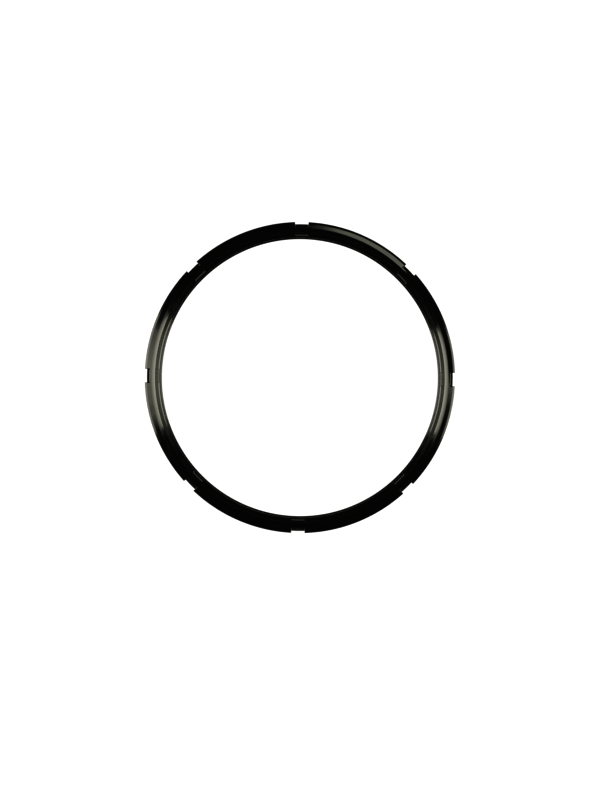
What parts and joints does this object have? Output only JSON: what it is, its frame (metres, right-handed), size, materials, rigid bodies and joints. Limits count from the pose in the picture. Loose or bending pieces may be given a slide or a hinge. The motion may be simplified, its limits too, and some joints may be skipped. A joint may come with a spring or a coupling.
{
  "type": "pressure cooker sealing gasket",
  "caption": "Round black rubber sealing ring for a stovetop pressure cooker's lid, with a C-shaped section that opens inwards and a notched outer flange.",
  "frame": {"origin": "centre of the ring, in the plane of the face that it rests on", "axes": "+Z is the ring's axis, from the pot's rim up to the lid; +X passes through the middle of one notch"},
  "size_m": [0.2348, 0.2348, 0.0099],
  "materials": {
    "black_rubber": "satin"
  },
  "bodies": {
    "root": {"sealing_gasket": "black_rubber"}
  },
  "joints": []
}
